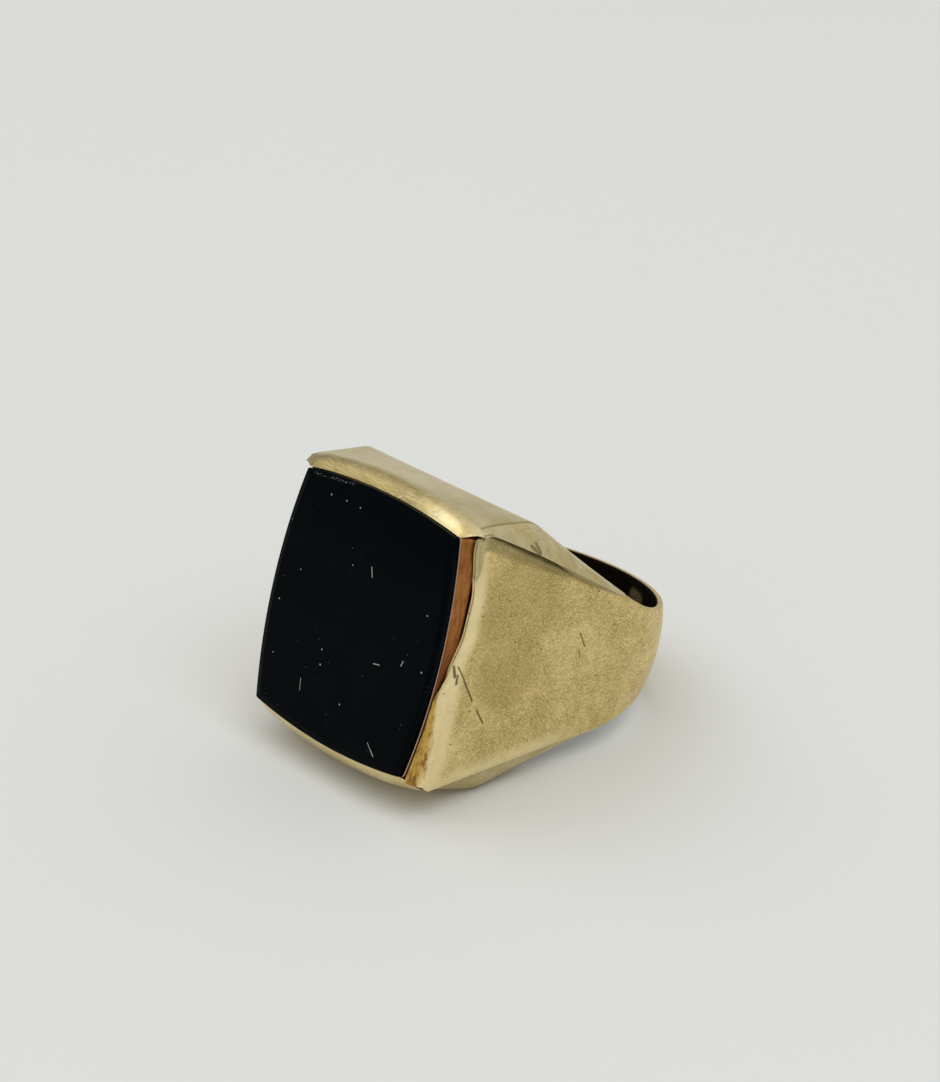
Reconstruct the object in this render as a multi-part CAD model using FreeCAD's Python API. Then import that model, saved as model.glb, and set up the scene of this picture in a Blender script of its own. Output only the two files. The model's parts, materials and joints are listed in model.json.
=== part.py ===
import FreeCAD, Part
import math
import os

# Men's signet ring with a flat onyx tablet, hollow-built from gold sheet, in millimetres.
# Every piece is drawn in the ring's own axes: x across the finger, y along the finger, z out
# through the stone, with the bore's centre at zero. At the end the ring is laid on its side,
# so that it rests on the fold of its lower end wall and on the lower edge of its shank.

# Finger hole and shank
BORE_R = 9.05                  # US size 8
SHANK_THICK = 0.85             # at the middle of the shank's width
SHANK_EDGE_THICK = 0.42        # at its two edges, which makes the back D-shaped
SHANK_HALF_WIDTH = 3.1
SHANK_CROWN_ANGLE = 125.0      # degrees from the stone, past which the D-shape is full
SHANK_SECTIONS = 17

# Side sweep: the half width of the ring, from its shank up to the head
SIDE_SLOPE = math.radians(28.1)
SWEEP_R = 15.3
FOLD_Z = 9.25                  # where the end wall folds over into the slope
FOLD_Y = 9.3

# Head
HEAD_HALF_WIDTH = 8.47         # across the finger, at the front of the shoulder panels
PANEL_FRONT_Z = 14.75
WALL_SHOULDER_Z = 14.45        # where the end wall rolls over into its front lip
WALL_MIDDLE_Y = 9.8
WALL_CORNER_Y = 8.8            # at HEAD_HALF_WIDTH
LIP_Z = 15.3
LIP_INNER_Y = 8.15             # the lip turns in as far as this at the collar's corners
SKIRT_LOW_Z = 4.4              # where the end wall's skirt runs out between leaf and liner
LIP_GROWTH = 0.12              # the lip's front edge stands this far outside the collar
SHEET = 0.6
LINER_THICK = 0.55

# Leaf-shaped bevel plates between the shoulder panels and the finger hole
GROOVE_Y0 = 4.32               # half height of the shoulder panel at z = 0
GROOVE_SLOPE = 0.314
UPPER_LEAF = (1.55, 8.6, 8.2)  # greatest inset, the height it is at, half the leaf's length
UPPER_LEFT_LEAF = (0.6, 8.6, 8.2)  # the upper left bevel is narrower
LOWER_LEAF = (1.45, 17.5, 19.5)    # the lower bevels widen all the way to the front
LEAF_LEAST = 0.15              # the bevel never gets narrower than this
LEAF_SECTIONS = 9
LEAF_FRONT_Z = 15.35
LEAF_PLATE_FRONT_Z = 14.4

# The head's four front corners are rounded off along a plane through this point
CORNER_POINT = (8.47, 8.88, 13.9)
CORNER_DIRECTION = (0.35, 0.862, 0.508)

# Stone and its setting
STONE_HALF_WIDTH = 7.1
STONE_HALF_LENGTH = 8.1
STONE_SIDE_BOW = 0.85
STONE_END_BOW = 0.64
STONE_TOP_Z = 15.9
STONE_THICK = 1.8
STONE_BEVEL = 0.13
CEMENT_THICK = 0.1
COLLAR_THICK = 0.2
COLLAR_TOP_Z = 15.4
PLATE_THICK = 0.6

# Solder that closes the lower half of the gap between a shoulder panel and the collar
SOLDER_TOP_Z = 15.3
SOLDER_BOTTOM_Z = 14.0
SOLDER_START_Y = -2.2
SOLDER_END_Y = -8.2
SOLDER_REACH_X = 7.1

# Allowances for solids that are trimmed afterwards
REACH = 30.0                   # longer than the ring
SECTION_MARGIN = 1.0           # wall sections and the shank's blank reach past their limits
HOLLOW_MARGIN = 0.25           # the head's hollow rises this far into the lip
CROWN_RISE = 1e-4              # keeps the shank's crown an arc where it is flat

OUTER_R = BORE_R + SHANK_THICK
LINER_R = BORE_R + LINER_THICK
CEMENT_BOTTOM_Z = STONE_TOP_Z - STONE_THICK - CEMENT_THICK
PLATE_BOTTOM_Z = CEMENT_BOTTOM_Z - PLATE_THICK

# The flat of the shoulder runs from the head's corner to the circle it touches, where the
# shank is soldered on.
CORNER_REACH = math.hypot(HEAD_HALF_WIDTH, PANEL_FRONT_Z)
JOIN_ANGLE = math.atan2(HEAD_HALF_WIDTH, PANEL_FRONT_Z) + math.acos(OUTER_R / CORNER_REACH)
JOIN_X = OUTER_R * math.sin(JOIN_ANGLE)
JOIN_Z = OUTER_R * math.cos(JOIN_ANGLE)

# Side sweep, as a level run, an arc and a slope that ends at the fold
KNEE_Z = FOLD_Z - (FOLD_Y - SHANK_HALF_WIDTH) / math.tan(SIDE_SLOPE)
SWEEP_TANGENT = SWEEP_R * math.tan(SIDE_SLOPE / 2)
SWEEP_START_Z = KNEE_Z - SWEEP_TANGENT
SWEEP_END_Z = KNEE_Z + SWEEP_TANGENT * math.cos(SIDE_SLOPE)
SWEEP_END_Y = SHANK_HALF_WIDTH + SWEEP_TANGENT * math.sin(SIDE_SLOPE)


def point(x, y, z):
    return FreeCAD.Vector(x, y, z)


def side_half_width(z):
    """Half width of the ring along the finger, at height z up to the fold."""
    if z <= SWEEP_START_Z:
        return SHANK_HALF_WIDTH
    if z >= SWEEP_END_Z:
        return SWEEP_END_Y + (z - SWEEP_END_Z) * math.tan(SIDE_SLOPE)
    rise = SWEEP_R - math.sqrt(SWEEP_R**2 - (z - SWEEP_START_Z) ** 2)
    return SHANK_HALF_WIDTH + rise


def groove_half_height(z):
    return GROOVE_Y0 + GROOVE_SLOPE * z


def shoulder_x(z):
    """Outer surface of the shoulder panel, on the straight run above the shank joint."""
    share = (z - JOIN_Z) / (PANEL_FRONT_Z - JOIN_Z)
    return JOIN_X + share * (HEAD_HALF_WIDTH - JOIN_X)


def wall_y(x, z):
    """Outer surface of the end wall: straight at the fold, bowed at its front shoulder."""
    bowed = WALL_MIDDLE_Y - (WALL_MIDDLE_Y - WALL_CORNER_Y) * (x / HEAD_HALF_WIDTH) ** 2
    share = (z - FOLD_Z) / (WALL_SHOULDER_Z - FOLD_Z)
    return FOLD_Y + share * (bowed - FOLD_Y)


def prism(corners, direction):
    return Part.Face(Part.makePolygon(corners + corners[:1])).extrude(direction)


def prism_along_finger(corners):
    """A prism through the whole ring along y, from (x, z) corners."""
    base = [point(x, -REACH, z) for x, z in corners]
    return prism(base, point(0, 2 * REACH, 0))


def prism_across_finger(corners):
    """A prism through the whole ring along x, from (y, z) corners."""
    base = [point(-REACH, y, z) for y, z in corners]
    return prism(base, point(2 * REACH, 0, 0))


def cylinder(radius):
    return Part.makeCylinder(radius, 2 * REACH, point(0, -REACH, 0), point(0, 1, 0))


def bow(start, middle, end):
    """A parabola through three points, which may also lie on a straight line."""
    curve = Part.BezierCurve()
    curve.setPoles([start, middle * 2 - (start + end) * 0.5, end])
    return curve.toShape()


def bowed_outline(grow, z):
    """The stone's outline, four bowed sides that meet in sharp corners, grown outwards."""
    width = STONE_HALF_WIDTH + grow
    length = STONE_HALF_LENGTH + grow
    side = width + STONE_SIDE_BOW
    end = length + STONE_END_BOW
    edges = [
        Part.Arc(point(-width, length, z), point(0, end, z), point(width, length, z)).toShape(),
        Part.Arc(point(width, length, z), point(side, 0, z), point(width, -length, z)).toShape(),
        Part.Arc(point(width, -length, z), point(0, -end, z), point(-width, -length, z)).toShape(),
        Part.Arc(point(-width, -length, z), point(-side, 0, z), point(-width, length, z)).toShape(),
    ]
    return Part.Wire(edges)


def bowed_prism(grow, low_z, high_z):
    return Part.Face(bowed_outline(grow, low_z)).extrude(point(0, 0, high_z - low_z))


def side_envelope():
    """All that lies between the two swept sides of the ring."""
    middle_z = (SWEEP_START_Z + SWEEP_END_Z) / 2
    edges = []
    for s in (1, -1):
        low = point(-REACH, s * SHANK_HALF_WIDTH, -REACH)
        start = point(-REACH, s * SHANK_HALF_WIDTH, SWEEP_START_Z)
        middle = point(-REACH, s * side_half_width(middle_z), middle_z)
        end = point(-REACH, s * SWEEP_END_Y, SWEEP_END_Z)
        fold = point(-REACH, s * FOLD_Y, FOLD_Z)
        high = point(-REACH, s * FOLD_Y, REACH)
        edges += [
            Part.LineSegment(low, start).toShape(),
            Part.Arc(start, middle, end).toShape(),
            Part.LineSegment(end, fold).toShape(),
            Part.LineSegment(fold, high).toShape(),
        ]
    for z, y in ((-REACH, SHANK_HALF_WIDTH), (REACH, FOLD_Y)):
        edges.append(Part.LineSegment(point(-REACH, -y, z), point(-REACH, y, z)).toShape())
    outline = Part.Wire(Part.__sortEdges__(edges))
    return Part.Face(outline).extrude(point(2 * REACH, 0, 0))


def side_envelope_below_fold():
    above = prism_across_finger([(-REACH, FOLD_Z), (REACH, FOLD_Z), (REACH, REACH), (-REACH, REACH)])
    return side_envelope().cut(above)


def below_join():
    """All that belongs to the shank: the ring below the two radial planes of its joints."""
    x = REACH * math.sin(JOIN_ANGLE)
    z = REACH * math.cos(JOIN_ANGLE)
    return prism_along_finger([(0, 0), (x, z), (x, -REACH), (-x, -REACH), (-x, z)])


def shoulder_envelope():
    """All that lies inside the flats of the two shoulders."""
    slope = (HEAD_HALF_WIDTH - JOIN_X) / (PANEL_FRONT_Z - JOIN_Z)
    low_x = JOIN_X - slope * REACH / 2
    high_x = JOIN_X + slope * REACH / 2
    low_z = JOIN_Z - REACH / 2
    high_z = JOIN_Z + REACH / 2
    return prism_along_finger([(low_x, low_z), (high_x, high_z), (-high_x, high_z), (-low_x, low_z)])


def panel_zone():
    """Between the two grooves that bound the shoulder panels above and below."""
    low = groove_half_height(-OUTER_R)
    high = groove_half_height(PANEL_FRONT_Z)
    corners = [(-low, -OUTER_R), (low, -OUTER_R), (high, PANEL_FRONT_Z), (-high, PANEL_FRONT_Z)]
    return prism_across_finger(corners)


def leaf_shape(sx, sy):
    if sy < 0:
        return LOWER_LEAF
    return UPPER_LEAF if sx > 0 else UPPER_LEFT_LEAF


def leaf_section(z, inside, outside, sx, sy):
    """A leaf plate's cross-section at height z, from its facet inwards and outwards."""
    greatest, middle_z, half_span = leaf_shape(sx, sy)
    inset = max(greatest * (1 - ((z - middle_z) / half_span) ** 2), LEAF_LEAST)
    top_y = side_half_width(z) if z < FOLD_Z else wall_y(HEAD_HALF_WIDTH - inset, z)
    groove = point(shoulder_x(z), groove_half_height(z), z)
    edge = point(shoulder_x(z) - inset, max(top_y, groove.y + LEAF_LEAST), z)
    along = (edge - groove).normalize()
    normal = point(along.y, -along.x, 0)
    start = groove - along * SHEET
    end = edge + along * SHEET
    corners = [
        start - normal * inside,
        end - normal * inside,
        end + normal * outside,
        start + normal * outside,
    ]
    placed = [point(sx * c.x, sy * c.y, c.z) for c in corners]
    return Part.makePolygon(placed + placed[:1])


def leaf_loft(inside, outside, sx, sy):
    step = (LEAF_FRONT_Z - JOIN_Z) / (LEAF_SECTIONS - 1)
    heights = [JOIN_Z + step * i for i in range(LEAF_SECTIONS)]
    sections = [leaf_section(z, inside, outside, sx, sy) for z in heights]
    return Part.makeLoft(sections, True, True)


def wall_section(z, reduce_y, grow=None):
    """The head's outline along and across the finger at height z, wide enough to be trimmed."""
    x = HEAD_HALF_WIDTH + SECTION_MARGIN
    if grow is None:
        middle = wall_y(0, z) - reduce_y
        corner = wall_y(x, z) - reduce_y
    else:
        middle = STONE_HALF_LENGTH + STONE_END_BOW + grow
        corner = middle - STONE_END_BOW * (x / STONE_HALF_WIDTH) ** 2
    top = bow(point(-x, corner, z), point(0, middle, z), point(x, corner, z))
    bottom = bow(point(x, -corner, z), point(0, -middle, z), point(-x, -corner, z))
    right = Part.LineSegment(point(x, corner, z), point(x, -corner, z)).toShape()
    left = Part.LineSegment(point(-x, -corner, z), point(-x, corner, z)).toShape()
    return Part.Wire([top, right, bottom, left])


def onyx_tablet():
    body = bowed_prism(0, STONE_TOP_Z - STONE_THICK, STONE_TOP_Z)
    rim = [e for e in body.Edges if e.BoundBox.ZMin > STONE_TOP_Z - STONE_BEVEL]
    return body.makeChamfer(STONE_BEVEL, rim)


def stone_cement():
    return bowed_prism(0, CEMENT_BOTTOM_Z, CEMENT_BOTTOM_Z + CEMENT_THICK)


def backing_plate():
    return bowed_prism(0, PLATE_BOTTOM_Z, CEMENT_BOTTOM_Z)


def bezel_collar():
    inside = bowed_prism(0, PLATE_BOTTOM_Z, COLLAR_TOP_Z)
    return bowed_prism(COLLAR_THICK, PLATE_BOTTOM_Z, COLLAR_TOP_Z).cut(inside)


def finger_liner():
    tube = cylinder(LINER_R).cut(cylinder(BORE_R)).common(side_envelope()).cut(below_join())
    for sx in (1, -1):
        for sy in (1, -1):
            tube = tube.cut(leaf_loft(0, 3 * SHEET, sx, sy))
    return tube


def shank_section(angle):
    """The shank's section in the radial plane at an angle from the stone, past the bore."""
    turned = (angle - JOIN_ANGLE) / (math.radians(SHANK_CROWN_ANGLE) - JOIN_ANGLE)
    beyond = (2 * math.pi - JOIN_ANGLE - angle) / (math.radians(SHANK_CROWN_ANGLE) - JOIN_ANGLE)
    share = max(0.0, min(1.0, turned, beyond))
    edge_r = OUTER_R - share * (SHANK_THICK - SHANK_EDGE_THICK)
    half = side_half_width(BORE_R * math.cos(angle))

    def at(radius, y):
        return point(radius * math.sin(angle), y, radius * math.cos(angle))

    inner_r = BORE_R - SECTION_MARGIN
    inner = Part.LineSegment(at(inner_r, -half), at(inner_r, half)).toShape()
    upper = Part.LineSegment(at(inner_r, half), at(edge_r, half)).toShape()
    crown = Part.Arc(at(edge_r, half), at(OUTER_R + CROWN_RISE, 0), at(edge_r, -half)).toShape()
    lower = Part.LineSegment(at(edge_r, -half), at(inner_r, -half)).toShape()
    return Part.Wire([inner, upper, crown, lower])


def shank():
    sweep = 2 * math.pi - 2 * JOIN_ANGLE
    angles = [JOIN_ANGLE + sweep * i / (SHANK_SECTIONS - 1) for i in range(SHANK_SECTIONS)]
    blank = Part.makeLoft([shank_section(a) for a in angles], True, False)
    return blank.cut(cylinder(BORE_R))


def shoulder_strip(sx):
    """The shoulder's sheet, along the whole finger."""
    low_z = JOIN_Z - SHEET
    return prism_along_finger([
        (sx * shoulder_x(low_z), low_z),
        (sx * HEAD_HALF_WIDTH, PANEL_FRONT_Z),
        (sx * (HEAD_HALF_WIDTH - SHEET), PANEL_FRONT_Z),
        (sx * (shoulder_x(low_z) - SHEET), low_z),
    ])


def beyond_corner(sx, sy):
    """All that lies outside the plane of one rounded-off front corner of the head."""
    direction = point(sx * CORNER_DIRECTION[0], sy * CORNER_DIRECTION[1], CORNER_DIRECTION[2])
    block = Part.makeBox(2 * REACH, 2 * REACH, REACH, point(-REACH, -REACH, 0))
    corner = point(sx * CORNER_POINT[0], sy * CORNER_POINT[1], CORNER_POINT[2])
    block.Placement = FreeCAD.Placement(corner, FreeCAD.Rotation(point(0, 0, 1), direction))
    return block


def trim_to_neighbours(shape):
    """Clear of the liner, the shank and the collar, which are whole where they meet a sheet."""
    collar = bowed_prism(COLLAR_THICK, PLATE_BOTTOM_Z, REACH)
    trimmed = shape.cut(cylinder(LINER_R)).cut(below_join()).cut(collar)
    for sx in (1, -1):
        for sy in (1, -1):
            trimmed = trimmed.cut(beyond_corner(sx, sy))
    return trimmed


def solder_fillet(sx):
    """The solder between the panel's front edge and the collar, along their lower half."""
    corners = [
        (sx * HEAD_HALF_WIDTH, PANEL_FRONT_Z),
        (sx * SOLDER_REACH_X, SOLDER_TOP_Z),
        (sx * SOLDER_REACH_X, SOLDER_BOTTOM_Z),
        (sx * shoulder_x(SOLDER_BOTTOM_Z), SOLDER_BOTTOM_Z),
    ]
    base = [point(x, SOLDER_END_Y, z) for x, z in corners]
    return prism(base, point(0, SOLDER_START_Y - SOLDER_END_Y, 0))


def shoulder_panel(sx):
    sheet = shoulder_strip(sx).common(panel_zone())
    return trim_to_neighbours(sheet.fuse(solder_fillet(sx)).removeSplitter())


def leaf_plate(sx, sy):
    ahead = prism_across_finger([
        (-REACH, LEAF_PLATE_FRONT_Z),
        (REACH, LEAF_PLATE_FRONT_Z),
        (REACH, REACH),
        (-REACH, REACH),
    ])
    plate = leaf_loft(SHEET, 0, sx, sy).cut(ahead)
    plate = plate.common(shoulder_envelope()).cut(panel_zone())
    plate = plate.common(head_envelope().fuse(side_envelope_below_fold()))
    return trim_to_neighbours(plate)


def head_envelope():
    """The head from the fold forward: the end walls' outside, then their lip."""
    body = Part.makeLoft([wall_section(FOLD_Z, 0), wall_section(WALL_SHOULDER_Z, 0)], True, True)
    front = wall_section(LIP_Z, 0, COLLAR_THICK + LIP_GROWTH)
    lip = Part.makeLoft([wall_section(WALL_SHOULDER_Z, 0), front], True, True)
    return body.fuse(lip)


def end_wall(sy):
    """One bent sheet: lip, wall, and the sloping skirt that meets the liner."""
    hollow_low = wall_section(FOLD_Z - SECTION_MARGIN, SHEET)
    hollow_high = wall_section(WALL_SHOULDER_Z + HOLLOW_MARGIN, SHEET)
    hollow = Part.makeLoft([hollow_low, hollow_high], True, True)
    inner_y = sy * LIP_INNER_Y
    far_y = sy * REACH
    corners = [(inner_y, FOLD_Z), (far_y, FOLD_Z), (far_y, REACH), (inner_y, REACH)]
    half = prism_across_finger(corners)
    wall = head_envelope().common(half).cut(hollow)
    drop = SHEET / math.cos(SIDE_SLOPE)
    low_y = side_half_width(SKIRT_LOW_Z)
    skirt = prism_across_finger([
        (sy * low_y, SKIRT_LOW_Z),
        (sy * FOLD_Y, FOLD_Z),
        (sy * (FOLD_Y - drop), FOLD_Z),
        (sy * (low_y - drop), SKIRT_LOW_Z),
    ])
    sheet = wall.fuse(skirt).removeSplitter().common(shoulder_envelope())
    for sx in (1, -1):
        sheet = sheet.cut(leaf_loft(0, 3 * SHEET, sx, sy))
        sheet = sheet.cut(leaf_plate(sx, sy)).cut(shoulder_strip(sx)).cut(solder_fillet(sx))
    return trim_to_neighbours(sheet)


def lay_on_side(shapes):
    """Turn the ring onto its lower fold and shank edge, centred over the ground."""
    run = FOLD_Z + BORE_R + SHANK_EDGE_THICK
    lean = math.degrees(math.atan2(FOLD_Y - SHANK_HALF_WIDTH, run))
    for shape in shapes.values():
        shape.rotate(point(0, 0, 0), point(1, 0, 0), 90 - lean)
    box = Part.makeCompound(list(shapes.values())).optimalBoundingBox(False)
    for shape in shapes.values():
        shape.translate(point(-box.Center.x, -box.Center.y, -box.ZMin))


def build():
    shapes = {
        "onyx_tablet": onyx_tablet(),
        "stone_cement": stone_cement(),
        "backing_plate": backing_plate(),
        "bezel_collar": bezel_collar(),
        "finger_liner": finger_liner(),
        "shank": shank(),
        "upper_end_wall": end_wall(1),
        "lower_end_wall": end_wall(-1),
    }
    for side, sx in (("right", 1), ("left", -1)):
        shapes[side + "_shoulder_panel"] = shoulder_panel(sx)
        shapes[side + "_upper_leaf"] = leaf_plate(sx, 1)
        shapes[side + "_lower_leaf"] = leaf_plate(sx, -1)
    return shapes


os.makedirs("parts", exist_ok=True)
pieces = build()
lay_on_side(pieces)
for node, shape in pieces.items():
    shape.exportStep("parts/" + node + ".step")
    print(node, len(shape.Solids), shape.isValid(), round(shape.Volume, 2), shape.BoundBox)
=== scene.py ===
import json
import math

import bmesh
import bpy
import numpy as np
from mathutils import Matrix, Vector


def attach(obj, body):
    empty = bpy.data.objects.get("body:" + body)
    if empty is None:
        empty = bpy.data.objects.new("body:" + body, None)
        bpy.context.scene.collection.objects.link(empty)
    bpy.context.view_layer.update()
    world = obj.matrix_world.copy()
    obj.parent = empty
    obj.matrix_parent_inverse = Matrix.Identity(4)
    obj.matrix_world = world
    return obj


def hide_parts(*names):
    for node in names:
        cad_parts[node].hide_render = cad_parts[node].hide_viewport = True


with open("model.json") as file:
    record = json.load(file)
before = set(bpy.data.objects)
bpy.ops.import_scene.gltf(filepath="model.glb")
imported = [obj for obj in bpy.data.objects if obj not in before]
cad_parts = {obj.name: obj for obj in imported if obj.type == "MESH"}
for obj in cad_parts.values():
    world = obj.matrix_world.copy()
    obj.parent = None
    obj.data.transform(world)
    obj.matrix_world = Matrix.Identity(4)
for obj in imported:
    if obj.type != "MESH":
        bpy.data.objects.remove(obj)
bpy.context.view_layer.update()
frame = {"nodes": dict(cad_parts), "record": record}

# Lengths are in millimetres in the ring's own axes: x across the finger, y along the finger,
# z out through the stone, with the bore's centre at zero. ring_to_row places them in the row frame.
MM = 0.001

# The ring's driving dimensions, as in the CAD
BORE_R = 9.05                  # finger hole, US size 8
SHANK_THICK = 0.85
SHANK_EDGE_THICK = 0.42
SHANK_HALF_WIDTH = 3.1
SHANK_CROWN_ANGLE = math.radians(125.0)
SIDE_SLOPE = math.radians(28.1)
SWEEP_R = 15.3
FOLD_Z = 9.25
FOLD_Y = 9.3
HEAD_HALF_WIDTH = 8.47
PANEL_FRONT_Z = 14.75
WALL_SHOULDER_Z = 14.45
WALL_MIDDLE_Y = 9.8
WALL_CORNER_Y = 8.8
LINER_THICK = 0.55
GROOVE_Y0 = 4.32
GROOVE_SLOPE = 0.314
# Leaf-shaped bevels: greatest inset, the height it is at, half the leaf's length
UPPER_LEAF = (1.55, 8.6, 8.2)
UPPER_LEFT_LEAF = (0.6, 8.6, 8.2)
LOWER_LEAF = (1.45, 17.5, 19.5)
LEAF_LEAST = 0.15              # the bevel never gets narrower than this
# The head's four front corners are rounded off along a plane through this point
CORNER_POINT = (8.47, 8.88, 13.9)
CORNER_DIRECTION = (0.35, 0.862, 0.508)
STONE_HALF_WIDTH = 7.1
STONE_HALF_LENGTH = 8.1
STONE_SIDE_BOW = 0.85
STONE_END_BOW = 0.64
STONE_TOP_Z = 15.9
STONE_THICK = 1.8
COLLAR_THICK = 0.2
COLLAR_TOP_Z = 15.4
COLLAR_BOTTOM_Z = 13.4

OUTER_R = BORE_R + SHANK_THICK
LINER_R = BORE_R + LINER_THICK
CORNER_REACH = math.hypot(HEAD_HALF_WIDTH, PANEL_FRONT_Z)
JOIN_ANGLE = math.atan2(HEAD_HALF_WIDTH, PANEL_FRONT_Z) + math.acos(OUTER_R / CORNER_REACH)
JOIN_X = OUTER_R * math.sin(JOIN_ANGLE)
JOIN_Z = OUTER_R * math.cos(JOIN_ANGLE)
SWEEP_TANGENT = SWEEP_R * math.tan(SIDE_SLOPE / 2)
KNEE_Z = FOLD_Z - (FOLD_Y - SHANK_HALF_WIDTH) / math.tan(SIDE_SLOPE)
SWEEP_START_Z = KNEE_Z - SWEEP_TANGENT
SWEEP_END_Z = KNEE_Z + SWEEP_TANGENT * math.cos(SIDE_SLOPE)

# Softness of the bends, as hand finishing leaves them
UPPER_FOLD_SOFT = 0.5
LOWER_FOLD_SOFT = 1.1
CREASE_SOFT = 0.42             # between a leaf's facet and the side
CORNER_SOFT = 0.3              # of the head's cut corners
HOLE_ROUND = 0.1               # rounding of the finger hole's rim
SEAM = 0.05                    # the fine seam round the liner's end
EDGE_FADE = 3.5                # grooves and rolls fade in over this length from the shank

# Stone and collar
STONE_FOOT = 0.08              # bevel of the stone's hidden lower edge
STONE_CORNER = 0.15
# The stone's upper bevel as (growth beyond the outline, depth under the face)
STONE_BEVEL = [(0.0, 0.12), (-0.015, 0.09), (-0.37, 0.01), (-0.4, 0.0), (-0.47, 0.0)]
COLLAR_CORNER = 0.22
COLLAR_GAP = 0.005             # between the stone and the collar
COLLAR_FLARE = 0.5             # the collar leans out this far at the head's upper corners
# The collar's rim and outer face as (growth beyond the stone, depth under the rim, share of the flare)
COLLAR_PROFILE = [
    (COLLAR_GAP, 0.07, 0.0),
    (0.015, 0.015, 0.0),
    (0.04, 0.0, 0.0),
    (0.07, 0.01, 0.0),
    (0.10, 0.05, 0.02),
    (0.13, 0.12, 0.08),
    (0.165, 0.3, 0.25),
    (0.19, 0.55, 0.55),
    (COLLAR_THICK, 0.85, 0.85),
    (COLLAR_THICK, 1.05, 1.0),
    (COLLAR_THICK, 1.2, 0.7),
    (COLLAR_THICK, 1.45, 0.0),
]

# End walls
WALL_THICK = 0.5
SKIRT_CORNER_Z = (3.0, 8.0)    # the skirt's lower corners lie between these heights
SKIRT_CORNER_SHARE = 0.85      # past this share of its width the skirt's edge leaves the liner
LIP_START_Z = WALL_SHOULDER_Z - 0.3
LIP_REACH_X = 8.36             # half width of the lip
LIP_GAP = 0.03                 # between the lip's edge and the stone
LIP_OVER_RIM = 0.1             # height of the lip's edge over the collar's rim
LIP_SWELL = 0.05               # the lip stands this far proud of the wall
LIP_STONE_SHARE = 0.84         # the share of the lip's width that lies beside the stone
# The lip's ends past the stone's corners, as (distance from the stone's end, height)
LIP_END = (0.62, 14.62)
UPPER_LEFT_LIP_END = (0.05, 14.9)
LOWER_LEFT_LIP_END = (0.62, 14.15)

# Shoulder panels
PANEL_THICK = 0.45
PANEL_FRONT_THICK = 0.18
PANEL_HALF_HEIGHT = 8.7        # of the front edge
PANEL_CORNER_SOFT = 0.15
PANEL_CORNER_Y = (4.0, 7.0)    # the front edge's upper corner is rounded between these
PANEL_ROLL_Z = 0.13            # the face ends and the front roll starts this far below the edge
# The open front edge rolls over: how far back and up each row lies from the face's end
FRONT_TURN = [(0.01, 0.06), (0.05, 0.11), (0.11, 0.13), (0.17, 0.1), (0.2, 0.0), (0.22, -0.4)]
FRONT_ROLL = 1.2               # how far the panel's face rolls down towards its front edge
FRONT_RECESS = 0.55            # the front edge dips this far below its two ends
SOLDER_Y = (-2.6, 0.4)         # solder fills the gap to the collar below these
SOLDER_DROP = 0.07             # it ends this far under the collar's rim, on the right
LEFT_SOLDER_DROP = 0.5
SOLDER_BULGE = 0.08
GROOVE_DEPTH = 0.33            # step from the upper leaf's edge down to the channel beside it
PILLOW_DROP = 0.28             # the channel lies this far under the panel's face
CHANNEL_WIDTH = 0.85           # of the flat channel along the upper groove, at its front end
CHANNEL_START_Z = 3.0
CHANNEL_LENGTH = 10.5
CHANNEL_ROLL = 0.5             # how far the panel's face rolls down towards the channel
CHANNEL_FRONT = 0.65           # the channel turns round the upper corner, this wide
RIM_HEIGHT = 0.1               # of the thin rim round the upper corner's channel
LOW_ROLL = 0.18                # drop of the panel's worn lower edge
LOW_ROLL_WIDTH = 0.9

# Leaf plates
LEAF_WALL = 0.2                # thickness across the finger
LEAF_UNDER = 0.3               # and along it
LEAF_CROWN = 0.06              # the facet's middle swells by this
LEAF_FLANGE = 0.5              # greatest width of the hidden flange that reaches to the liner
FLANGE_DROP = 0.04             # the flange lies this far under the end wall's skirt

# Points along and across each mesh
ARC_POINTS = 400
OUTLINE_SIDE_POINTS = 40
OUTLINE_CORNER_POINTS = 6
WALL_COLUMNS = 151
WALL_ROWS = 105
LIP_ROWS = 20
PANEL_COLUMNS = 141
PANEL_ROWS = 161
LEAF_ROWS = 131
LEAF_COLUMNS = 17
LINER_SECTIONS = 181
SHANK_SECTIONS = 221


def smoothstep(low, high, value):
    share = np.clip((np.asarray(value, float) - low) / (high - low), 0.0, 1.0)
    return share * share * (3 - 2 * share)


def soft_min(a, b, soft):
    return np.minimum(a, b) - np.maximum(soft - np.abs(a - b), 0.0) ** 2 / (4 * soft)


def blend(a, b, share):
    return a * (1 - share) + b * share


def bezier(share, a, b, c, d):
    left = 1 - share
    return left**3 * a + 3 * left**2 * share * b + 3 * left * share**2 * c + share**3 * d


# The ring's outer surfaces, shared by the pieces so that their seams meet

def shoulder_x(z):
    share = (z - JOIN_Z) / (PANEL_FRONT_Z - JOIN_Z)
    return JOIN_X + share * (HEAD_HALF_WIDTH - JOIN_X)


def groove_y(z):
    return GROOVE_Y0 + GROOVE_SLOPE * z


def sweep_y(z):
    """Half width along the finger below the fold: a level run, an arc and a slope."""
    turn = np.clip(z - SWEEP_START_Z, 0.0, SWEEP_END_Z - SWEEP_START_Z)
    rise = SWEEP_R - np.sqrt(SWEEP_R**2 - turn**2)
    return SHANK_HALF_WIDTH + rise + np.maximum(z - SWEEP_END_Z, 0.0) * math.tan(SIDE_SLOPE)


def wall_y(x, z):
    bowed = WALL_MIDDLE_Y - (WALL_MIDDLE_Y - WALL_CORNER_Y) * (x / HEAD_HALF_WIDTH) ** 2
    return FOLD_Y + (z - FOLD_Z) / (WALL_SHOULDER_Z - FOLD_Z) * (bowed - FOLD_Y)


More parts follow.
